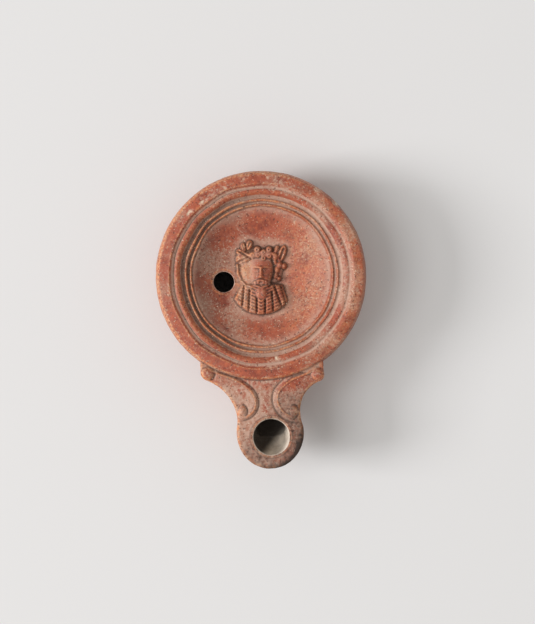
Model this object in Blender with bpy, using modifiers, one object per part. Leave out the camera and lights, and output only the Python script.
"""Volute lamp of fired clay: a round, hollow oil lamp with a bust in its discus and a rounded nozzle.

The lamp is one piece of clay. It stands on its flat base, with the origin at the base's centre,
+Z up, and the nozzle towards -Y. All sizes are in metres.
"""

import math

import bmesh
import bpy
from mathutils import Vector

# Body
BODY_RADIUS = 0.0363
BODY_HEIGHT = 0.0260
EDGE_HEIGHT = 0.0055
EDGE_ROUNDING = 0.0015
BASE_RADIUS = 0.0205
FOOT_HEIGHT = 0.0008
BASE_RIM_WIDTH = 0.0030
BASE_GROOVE_WIDTH = 0.0010
BASE_GROOVE_DEPTH = 0.0005

# Top, from the edge inwards: the shoulder, then three rings with a groove outside each, then the discus
SHOULDER_WIDTH = 0.00495
SHOULDER_FALL = 0.0005
OUTER_GROOVE_WIDTH = 0.00125
OUTER_RING_WIDTH = 0.0023
MIDDLE_GROOVE_WIDTH = 0.0013
MIDDLE_RING_WIDTH = 0.0009
INNER_GROOVE_WIDTH = 0.0008
INNER_RING_WIDTH = 0.0009
MOULDING_FALL = 0.0022
GROOVE_DEPTH = 0.0009
DISCUS_STEP = 0.0008
DISCUS_DEPTH = 0.0044

# Walls
WALL = 0.0032
PLATE = 0.0025
FLOOR = 0.0034

# Holes in the top
FILL_HOLE_RADIUS = 0.00355
FILL_HOLE_X = -0.0128
FILL_HOLE_Y = -0.0020
WICK_HOLE_RADIUS = 0.0061
WICK_HOLE_OUT = 0.0012

# Nozzle, measured from the body's edge and from the nozzle's own axis
NOZZLE_RADIUS = 0.0116
NOZZLE_LENGTH = 0.0175
NOZZLE_END = 0.0124
NOZZLE_DROP = 0.0013
NOZZLE_WALL = 0.0040
NOZZLE_SHIFT = 0.0032
SHIFT_START = 0.0060
SHIFT_LENGTH = 0.0213
WAIST_RADIUS = 0.0130
KEEL_HEIGHT = 0.0010
HULL_ROOT = 0.0164
HULL_FULLNESS = 4

# Volutes on the nozzle's shoulders
UPPER_KNOB_ANGLE = math.radians(29.3)
UPPER_KNOB_OUT = 0.0022
UPPER_KNOB_RADIUS = 0.0026
KNOB_EDGE = 0.0003
VOLUTE_OUT = 0.0065
VOLUTE_RADIUS = 0.0058
VOLUTE_HALF_GAP = 0.0037
LOWER_KNOB_RADIUS = 0.0017
LOWER_KNOB_LENGTH = 0.0021
RIDGE_RADIUS = 0.0010
RIDGE_GAP = 0.0005
RIDGE_RISE = 0.0007
KNOB_RISE = 0.0011
KNOB_SINK = 0.0007

# Bust in the discus. The carving below is in parts of the bust's height.
BUST_HEIGHT = 0.0258
BUST_PARTS = 25.8
BUST_X = 0.0
BUST_Y = 0.0

LOCK_TURNS = 3

# Fineness of the round surfaces
TURN_STEPS = 52
HOLLOW_STEPS = 28
HOLE_SIDES = 28
WALL_STEPS = 6
HULL_LEVELS = 6
LAST_SECTION = 0.01

CLAY_COLOUR = (0.52, 0.16, 0.085, 1.0)
CLAY_ROUGHNESS = 0.6
WELD = 0.00001


def clear_scene():
    for obj in list(bpy.data.objects):
        bpy.data.objects.remove(obj)


def new_collection(name):
    collection = bpy.data.collections.new(name)
    bpy.context.scene.collection.children.link(collection)
    return collection


def mesh_object(name, mesh, collection):
    obj = bpy.data.objects.new(name, mesh)
    collection.objects.link(obj)
    return obj


def as_helper(obj):
    """Marks a shape that is only joined to the clay or cut from it."""
    obj.hide_render = True
    obj.display_type = "WIRE"
    return obj


# Levels of the turned body


def shoulder_edge_height():
    return BODY_HEIGHT - SHOULDER_FALL


def widest_height():
    return shoulder_edge_height() - EDGE_HEIGHT


def moulding_radii():
    """Where each ring and groove of the moulding starts, from the discus outwards."""
    widths = (
        OUTER_GROOVE_WIDTH,
        OUTER_RING_WIDTH,
        MIDDLE_GROOVE_WIDTH,
        MIDDLE_RING_WIDTH,
        INNER_GROOVE_WIDTH,
        INNER_RING_WIDTH,
    )
    radii = [BODY_RADIUS - SHOULDER_WIDTH]
    for width in widths:
        radii.append(radii[-1] - width)
    return radii[::-1]


def discus_radius():
    return moulding_radii()[0]


def moulding_height(radius):
    """Height of the line that the rings' crests follow, falling from the shoulder to the discus."""
    radii = moulding_radii()
    share = (radii[-1] - radius) / (radii[-1] - radii[0])
    return BODY_HEIGHT - MOULDING_FALL * share


def discus_height(radius):
    """Height of the discus floor, a shallow dish."""
    edge = moulding_height(discus_radius()) - DISCUS_STEP
    share = min(radius / discus_radius(), 1.0)
    return edge - DISCUS_DEPTH * (1.0 - share * share)


def ring_profile(start, end, points):
    """A rounded ring between two grooves, as (radius, height)."""
    profile = []
    for i in range(points):
        share = i / (points - 1)
        radius = start + (end - start) * share
        rise = math.sin(math.pi * share)
        profile.append((radius, moulding_height(radius) - GROOVE_DEPTH * 0.7 * (1 - rise)))
    return profile


def bowl_profile(inner_radius, low, outer_radius, high, steps):
    """A quarter of an ellipse, from the foot up to the widest point."""
    profile = []
    for i in range(steps + 1):
        turn = math.pi / 2 * i / steps
        radius = inner_radius + (outer_radius - inner_radius) * math.sin(turn)
        profile.append((radius, high - (high - low) * math.cos(turn)))
    return profile


def top_profile():
    """The discus, its mouldings and the shoulder, from the axis outwards."""
    radii = moulding_radii()
    dish_shares = (0.0, 0.35, 0.6, 0.8, 0.93, 0.995)
    profile = [(radii[0] * s, discus_height(radii[0] * s)) for s in dish_shares]
    profile += ring_profile(radii[0], radii[1], 3)
    profile.append(((radii[1] + radii[2]) / 2, moulding_height(radii[1]) - GROOVE_DEPTH))
    profile += ring_profile(radii[2], radii[3], 3)
    profile.append(((radii[3] + radii[4]) / 2, moulding_height(radii[3]) - GROOVE_DEPTH))
    profile += ring_profile(radii[4], radii[5], 5)
    profile.append(((radii[5] + radii[6]) / 2, moulding_height(radii[5]) - GROOVE_DEPTH))
    profile.append((radii[6], BODY_HEIGHT - GROOVE_DEPTH * 0.2))
    profile.append((radii[6] + EDGE_ROUNDING / 3, BODY_HEIGHT))
    return profile


def edge_profile(steps):
    """The rounded edge of the shoulder, down to the widest point."""
    profile = []
    for i in range(steps):
        turn = math.pi / 2 * (1 - i / steps)
        radius = BODY_RADIUS - EDGE_ROUNDING * (1 - math.cos(turn))
        profile.append((radius, widest_height() + EDGE_HEIGHT * math.sin(turn)))
    return profile


def base_profile():
    """The foot and the flat base with its turned groove, from the outside to the axis."""
    groove = BASE_RADIUS - BASE_RIM_WIDTH - BASE_GROOVE_WIDTH / 2
    return [
        (BASE_RADIUS, 0.0),
        (groove + BASE_GROOVE_WIDTH / 2, 0.0),
        (groove, BASE_GROOVE_DEPTH),
        (groove - BASE_GROOVE_WIDTH / 2, 0.0),
        (0.0, 0.0),
    ]


def body_profile():
    wall = bowl_profile(BASE_RADIUS, FOOT_HEIGHT, BODY_RADIUS, widest_height(), WALL_STEPS)
    return top_profile() + edge_profile(4) + wall[::-1] + base_profile()


def hollow_profile():
    """The oil chamber: the underside of the top, then the inside of the wall, then the floor."""
    radii = moulding_radii()
    inside = BODY_RADIUS - WALL
    under_rings = moulding_height(radii[4]) - GROOVE_DEPTH - PLATE
    ceiling = [(radii[0] * s, discus_height(radii[0] * s) - PLATE) for s in (0.0, 0.5, 0.8, 1.0)]
    ceiling.append((radii[4], under_rings))
    ceiling.append((inside - EDGE_ROUNDING, under_rings))
    wall = bowl_profile(BASE_RADIUS - WALL, FLOOR, inside, widest_height(), WALL_STEPS)
    return ceiling + wall[::-1] + [(0.0, FLOOR)]


def turned(name, profile, steps, collection):
    """A turned shape: the profile in the XZ plane with a Screw modifier about the Z axis."""
    mesh = bpy.data.meshes.new(name)
    edges = [(i, i + 1) for i in range(len(profile) - 1)]
    mesh.from_pydata([(r, 0.0, z) for r, z in profile], edges, [])
    obj = mesh_object(name, mesh, collection)
    screw = obj.modifiers.new("turn", "SCREW")
    screw.steps = steps
    screw.render_steps = steps
    screw.use_merge_vertices = True
    screw.merge_threshold = WELD
    screw.use_normal_calculate = False
    return obj


# Nozzle


def nozzle_centre_y():
    return -(BODY_RADIUS + NOZZLE_LENGTH)


def lean(y):
    """Sideways shift of the nozzle's axis: the nozzle was set on a little askew."""
    start = SHIFT_START - BODY_RADIUS
    share = max(0.0, min((start - y) / SHIFT_LENGTH, 1.0))
    return NOZZLE_SHIFT * share


def nozzle_top():
    return shoulder_edge_height() - NOZZLE_DROP


def wick_hole_y():
    return nozzle_centre_y() - WICK_HOLE_OUT


def drawn_out(points):
    """Stretches the round end of the nozzle to its full reach."""
    middle = nozzle_centre_y()
    stretch = NOZZLE_END / NOZZLE_RADIUS
    return [Vector((p.x, p.y if p.y > middle else middle + (p.y - middle) * stretch)) for p in points]


def upper_knob_centre():
    reach = BODY_RADIUS + UPPER_KNOB_OUT
    return Vector((reach * math.sin(UPPER_KNOB_ANGLE), -reach * math.cos(UPPER_KNOB_ANGLE)))


def touching_circle(first, first_radius, second, second_radius, radius):
    """Centre of the circle that touches two others from outside, on the outer side of the nozzle."""
    a = first_radius + radius
    b = second_radius + radius
    gap = (second - first).length
    along = (a * a - b * b + gap * gap) / (2 * gap)
    aside = math.sqrt(max(a * a - along * along, 0.0))
    direction = (second - first) / gap
    side = Vector((direction.y, -direction.x))
    return first + direction * along + side * aside


def arc(centre, radius, start, end, steps):
    """Points on an arc, with its angles in radians."""
    points = []
    for i in range(steps + 1):
        angle = start + (end - start) * i / steps
        points.append(Vector((centre.x + radius * math.cos(angle), centre.y + radius * math.sin(angle))))
    return points


def angle_of(vector):
    return math.atan2(vector.y, vector.x)


def nozzle_half_outline():
    """The right side of the nozzle from inside the body, round the knob and the waist, to the tip."""
    tip = Vector((0.0, nozzle_centre_y()))
    knob = upper_knob_centre()
    waist = touching_circle(tip, NOZZLE_RADIUS, knob, UPPER_KNOB_RADIUS, WAIST_RADIUS)
    root = BODY_RADIUS - EDGE_ROUNDING - WALL / 2
    side = knob.x + UPPER_KNOB_RADIUS
    points = [Vector((side, -math.sqrt(max(root * root - side * side, 0.0))))]
    points += arc(knob, UPPER_KNOB_RADIUS, 0.0, angle_of(waist - knob), 5)
    start = angle_of(knob - waist)
    end = angle_of(tip - waist)
    if end < start:
        end += 2 * math.pi
    points += arc(waist, WAIST_RADIUS, start, end, 7)[1:-1]
    points += drawn_out(arc(tip, NOZZLE_RADIUS, angle_of(waist - tip), -math.pi / 2, 10))
    return points


def nozzle_outline():
    """The whole outline: the half, its mirror image, and an arc inside the body that closes it."""
    right = nozzle_half_outline()
    left = [Vector((-p.x, p.y)) for p in reversed(right[:-1])]
    root = right[0].length
    first = angle_of(left[-1])
    last = angle_of(right[0])
    return right + left + arc(Vector((0.0, 0.0)), root, first, last, 8)[1:-1]


def channel_outline():
    """The wick's channel: round under the wick hole, then straight back into the oil chamber."""
    tip = Vector((0.0, wick_hole_y()))
    radius = NOZZLE_RADIUS - NOZZLE_WALL
    back = -(BODY_RADIUS - WALL) * 0.6
    return [Vector((radius, back))] + arc(tip, radius, 0.0, -math.pi, 12) + [Vector((-radius, back))]


def hull(name, outline, top, bottom, collection):
    """A boat-shaped solid under an outline: each lower section draws in towards the body's base."""
    bm = bmesh.new()
    loops = []
    for level in range(HULL_LEVELS + 1):
        rise = max(1.0 - level / HULL_LEVELS, LAST_SECTION)
        draw = 1.0 - (1.0 - rise) ** HULL_FULLNESS
        ring = []
        for point in outline:
            y = (point.y + HULL_ROOT) * draw - HULL_ROOT
            core = min(abs(point.x), NOZZLE_RADIUS)
            flare = max(abs(point.x) - NOZZLE_RADIUS, 0.0)
            x = math.copysign(core * draw + flare * rise * rise, point.x) + lean(y)
            ring.append(bm.verts.new((x, y, bottom + (top - bottom) * rise)))
        edges = [bm.edges.new((ring[i - 1], ring[i])) for i in range(len(ring))]
        loops.append((ring, edges))
    for upper, lower in zip(loops[:-1], loops[1:]):
        bmesh.ops.bridge_loops(bm, edges=upper[1] + lower[1])
    bm.faces.new(loops[0][0])
    bm.faces.new(loops[-1][0])
    bmesh.ops.recalc_face_normals(bm, faces=bm.faces)
    mesh = bpy.data.meshes.new(name)
    bm.to_mesh(mesh)
    bm.free()
    return as_helper(mesh_object(name, mesh, collection))


def hole(name, x, y, radius, low, high, collection):
    """A round hole, as the plug that cuts it."""
    bpy.ops.mesh.primitive_cylinder_add(
        vertices=HOLE_SIDES, radius=radius, depth=high - low, location=(x, y, (low + high) / 2)
    )
    obj = bpy.context.object
    obj.name = name
    move_to(obj, collection)
    return as_helper(obj)


def move_to(obj, collection):
    for old in list(obj.users_collection):
        old.objects.unlink(obj)
    collection.objects.link(obj)


# Relief


def tube(name, points, radii, collection):
    """A round bar along points, made a closed mesh so that it can be joined to the clay."""
    curve = bpy.data.curves.new(name, "CURVE")
    curve.dimensions = "3D"
    curve.bevel_depth = 1.0
    curve.bevel_resolution = 2
    curve.use_fill_caps = True
    spline = curve.splines.new("POLY")
    spline.points.add(len(points) - 1)
    for spline_point, point, radius in zip(spline.points, points, radii):
        spline_point.co = (*point, 1.0)
        spline_point.radius = radius
    guide = mesh_object(name + "_line", curve, collection)
    bpy.context.view_layer.update()
    graph = bpy.context.evaluated_depsgraph_get()
    mesh = bpy.data.meshes.new_from_object(guide.evaluated_get(graph))
    bm = bmesh.new()
    bm.from_mesh(mesh)
    bmesh.ops.remove_doubles(bm, verts=bm.verts, dist=WELD)
    bmesh.ops.recalc_face_normals(bm, faces=bm.faces)
    bm.to_mesh(mesh)
    bm.free()
    obj = mesh_object(name, mesh, collection)
    obj.matrix_world = guide.matrix_world
    bpy.data.objects.remove(guide)
    return as_helper(obj)


def boss(name, centre, radii, turn, collection, segments=12, rings=8):
    """A rounded lump: a sphere stretched to three radii and turned about Z."""
    bpy.ops.mesh.primitive_uv_sphere_add(
        segments=segments, ring_count=rings, radius=1.0, location=centre, rotation=(0.0, 0.0, turn)
    )
    obj = bpy.context.object
    obj.name = name
    obj.scale = radii
    move_to(obj, collection)
    return as_helper(obj)


def volute_centre():
    return Vector((VOLUTE_HALF_GAP + VOLUTE_RADIUS, -(BODY_RADIUS + VOLUTE_OUT)))


def rounded(points):
    """Cuts each corner of a line, so that it bends evenly, and keeps its ends."""
    line = [points[0]]
    for a, b in zip(points[:-1], points[1:]):
        line += [a.lerp(b, 0.25), a.lerp(b, 0.75)]
    return line + [points[-1]]


def volute_line():
    """The crest of the right volute's ridge, along the body's edge and then round to the curl."""
    hug_radius = BODY_RADIUS + RIDGE_GAP
    hug_end = math.asin(volute_centre().x / hug_radius) - math.pi / 2
    hug_start = UPPER_KNOB_ANGLE + math.radians(3) - math.pi / 2
    points = arc(Vector((0.0, 0.0)), hug_radius, hug_start, hug_end, 3)
    points += arc(volute_centre(), VOLUTE_RADIUS, math.radians(128), math.radians(268), 6)
    return rounded(points)


def lower_knob_centre():
    reach = VOLUTE_RADIUS - RIDGE_RADIUS - LOWER_KNOB_RADIUS * 0.7
    return volute_centre() + Vector((-0.2, -0.98)) * reach


def make_volute(side, name, collection):
    """One volute: its ridge and the two knobs at its ends. side is 1 on the right, -1 on the left."""

    def place(point):
        return side * point.x + lean(point.y), point.y

    ridge_height = nozzle_top() + RIDGE_RISE - RIDGE_RADIUS
    points = [(*place(p), ridge_height) for p in volute_line()]
    tube(f"{name}_ridge", points, [RIDGE_RADIUS] * len(points), collection)
    knobs = (
        ("upper", upper_knob_centre(), UPPER_KNOB_RADIUS - KNOB_EDGE, UPPER_KNOB_RADIUS - KNOB_EDGE),
        ("lower", lower_knob_centre(), LOWER_KNOB_RADIUS, LOWER_KNOB_LENGTH),
    )
    for label, centre, across, along in knobs:
        x, y = place(centre)
        radii = (across, along, KNOB_RISE + KNOB_SINK)
        boss(f"{name}_{label}_knob", (x, y, nozzle_top() - KNOB_SINK), radii, 0.0, collection)


def bust_size(parts):
    return parts * BUST_HEIGHT / BUST_PARTS


def bust_place(x, y, rise=0.0):
    """A point of the carving on the discus floor, from parts right of and above the bust's middle."""
    px = BUST_X + bust_size(x)
    py = BUST_Y + bust_size(y)
    return px, py, discus_height(math.hypot(px, py)) + bust_size(rise)


def bust_boss(name, x, y, half_width, half_height, rise, turn, collection, sink=0.3, **fineness):
    """A lump of the carving that stands rise parts above the discus floor."""
    deep = rise + sink
    centre = bust_place(x, y, rise - deep)
    radii = (bust_size(half_width), bust_size(half_height), bust_size(deep))
    return boss(name, centre, radii, math.radians(turn), collection, **fineness)


def bust_bar(name, stations, collection):
    """A rounded strand of the carving through (x, y, rise of its middle, radius) stations."""
    points = [bust_place(x, y, rise) for x, y, rise, _ in stations]
    return tube(name, points, [bust_size(radius) for _, _, _, radius in stations], collection)


def make_head(collection):
    """The head: skull, face, brows, eyes, nose, cheeks, moustache, lip and the beard on the chin."""
    bust_boss("skull", -0.2, 2.6, 6.0, 6.5, 2.4, 0, collection, segments=16, rings=10)
    bust_boss("face", 0.0, 1.0, 4.3, 5.9, 3.4, 0, collection, segments=16, rings=12)
    bust_boss("nose", 0.0, 1.1, 0.7, 2.0, 4.0, 0, collection, segments=8)
    bust_boss("nose_tip", 0.0, -0.5, 1.0, 0.7, 4.2, 0, collection, segments=8)
    bust_boss("lip", 0.0, -3.0, 1.0, 0.5, 3.4, 0, collection, segments=8, rings=6)
    bust_boss("beard", 0.0, -5.4, 3.1, 2.9, 3.1, 0, collection, segments=14)
    for side in (-1, 1):
        label = "right" if side > 0 else "left"
        brow = ((0.5, 2.9, 3.05, 0.5), (1.9, 3.4, 2.85, 0.55), (3.5, 2.6, 2.2, 0.4))
        moustache = ((0.2, -1.7, 2.95, 0.7), (1.5, -2.0, 2.7, 0.75), (3.0, -3.2, 2.2, 0.5))
        bust_bar(f"brow_{label}", [(side * x, y, rise, r) for x, y, rise, r in brow], collection)
        bust_boss(f"eye_{label}", 1.8 * side, 2.0, 0.95, 0.55, 3.3, 0, collection, segments=8, rings=6)
        bust_boss(f"cheek_{label}", 2.4 * side, -0.3, 1.4, 1.5, 3.0, 0, collection, segments=10)
        bust_bar(f"moustache_{label}", [(side * x, y, rise, r) for x, y, rise, r in moustache], collection)


def make_wreath(collection):
    """The wreath across the brow: a band of ivy berries between leaves."""
    band = ((-5.0, 6.2, 0.7, 1.0), (-2.2, 7.4, 0.7, 1.2), (1.6, 7.8, 0.7, 1.3), (5.0, 6.8, 0.6, 1.0))
    bust_bar("wreath_band", band, collection)
    berries = ((-2.7, 7.0), (-0.8, 7.0), (0.9, 8.1), (2.8, 9.2), (3.1, 7.3), (-1.3, 8.9))
    for number, (x, y) in enumerate(berries, 1):
        bust_boss(f"berry_{number}", x, y, 1.15, 1.15, 3.2, 0, collection, segments=8, rings=6)
    leaves = (
        (-6.0, 9.7, 1.05, 2.0, 28),
        (-4.0, 10.5, 0.95, 2.1, -4),
        (-6.0, 6.4, 1.6, 2.7, 68),
        (5.1, 9.0, 0.9, 1.8, -20),
    )
    for number, (x, y, half_width, half_height, turn) in enumerate(leaves, 1):
        bust_boss(f"leaf_{number}", x, y, half_width, half_height, 2.0, turn, collection, segments=10)


def make_ears_and_hair(collection):
    """The pointed ear, the curls beside the face and the hair that falls past the other cheek."""
    bust_boss("hair_mass", -5.0, 0.9, 2.9, 4.9, 1.8, 12, collection)
    bust_boss("ear", 7.1, 7.6, 1.15, 3.1, 2.0, -22, collection, segments=10)
    curls = ((4.9, 4.6, 1.3), (6.5, 3.6, 1.25), (8.0, 3.9, 0.9), (5.4, 1.9, 1.3), (4.9, -0.4, 1.2))
    for number, (x, y, radius) in enumerate(curls, 1):
        bust_boss(f"curl_{number}", x, y, radius, radius * 1.2, 1.9, 0, collection, segments=8, rings=6)
    hair = ((-6.2, 4.7, 0.4, 1.4), (-7.1, 2.0, 0.4, 1.3), (-6.6, -0.8, 0.4, 1.2), (-4.6, -3.6, 0.5, 1.2))
    bust_bar("hair_left", hair, collection)


def make_locks(collection):
    """The long beard: seven twisted locks that fan out below the chin."""
    tops = ((-6.6, -3.6), (-4.9, -4.5), (-2.6, -6.2), (0.1, -6.9), (2.6, -6.2), (4.5, -4.4), (5.9, -2.8))
    feet = ((-7.7, -8.4), (-5.4, -10.9), (-2.8, -12.2), (0.1, -12.5), (3.0, -12.1), (5.7, -10.9), (7.8, -8.4))
    for number, ((top_x, top_y), (foot_x, foot_y)) in enumerate(zip(tops, feet), 1):
        stations = []
        for i in range(LOCK_TURNS * 2 + 1):
            share = i / (LOCK_TURNS * 2)
            radius = (1.2 + 0.3 * share) * (1.0 - 0.1 * (i % 2))
            x = top_x + (foot_x - top_x) * share**1.3
            stations.append((x, top_y + (foot_y - top_y) * share, 0.8, radius))
        stations.append((foot_x + (foot_x - top_x) * 0.12, foot_y - 0.6, 0.3, 0.6))
        bust_bar(f"lock_{number}", stations, collection)


def clay_material():
    material = bpy.data.materials.new("red_slipped_terracotta")
    material.use_nodes = True
    shader = material.node_tree.nodes["Principled BSDF"]
    shader.inputs["Base Color"].default_value = CLAY_COLOUR
    shader.inputs["Roughness"].default_value = CLAY_ROUGHNESS
    shader.inputs["Metallic"].default_value = 0.0
    return material


def combine(obj, label, operation, other):
    """Joins or cuts obj with another object, or with all objects of a collection."""
    modifier = obj.modifiers.new(label, "BOOLEAN")
    modifier.operation = operation
    modifier.solver = "EXACT"
    if isinstance(other, bpy.types.Collection):
        modifier.operand_type = "COLLECTION"
        modifier.collection = other
        modifier.use_self = True
    else:
        modifier.object = other


def main():
    clear_scene()
    lamp = new_collection("volute_lamp")
    relief = new_collection("relief")
    cutters = new_collection("cutters")

    body = turned("lamp_body", body_profile(), TURN_STEPS, lamp)
    nozzle = hull("nozzle", nozzle_outline(), nozzle_top(), KEEL_HEIGHT, cutters)
    make_volute(1, "right", relief)
    make_volute(-1, "left", relief)
    make_head(relief)
    make_wreath(relief)
    make_ears_and_hair(relief)
    make_locks(relief)

    chamber = as_helper(turned("chamber", hollow_profile(), HOLLOW_STEPS, cutters))
    ceiling = nozzle_top() - PLATE
    channel = hull("channel", channel_outline(), ceiling, KEEL_HEIGHT + FLOOR, cutters)
    wick_y = wick_hole_y()
    wick_hole = hole(
        "wick_hole", lean(wick_y), wick_y, WICK_HOLE_RADIUS, ceiling - PLATE, BODY_HEIGHT, cutters
    )
    fill_floor = discus_height(math.hypot(FILL_HOLE_X, FILL_HOLE_Y)) - 2 * PLATE
    fill_hole = hole(
        "fill_hole", FILL_HOLE_X, FILL_HOLE_Y, FILL_HOLE_RADIUS, fill_floor, BODY_HEIGHT, cutters
    )

    combine(body, "nozzle", "UNION", nozzle)
    combine(body, "relief", "UNION", relief)
    for cutter in (chamber, channel, wick_hole, fill_hole):
        combine(body, cutter.name, "DIFFERENCE", cutter)
    body.data.materials.append(clay_material())
    body.data.shade_smooth()


main()
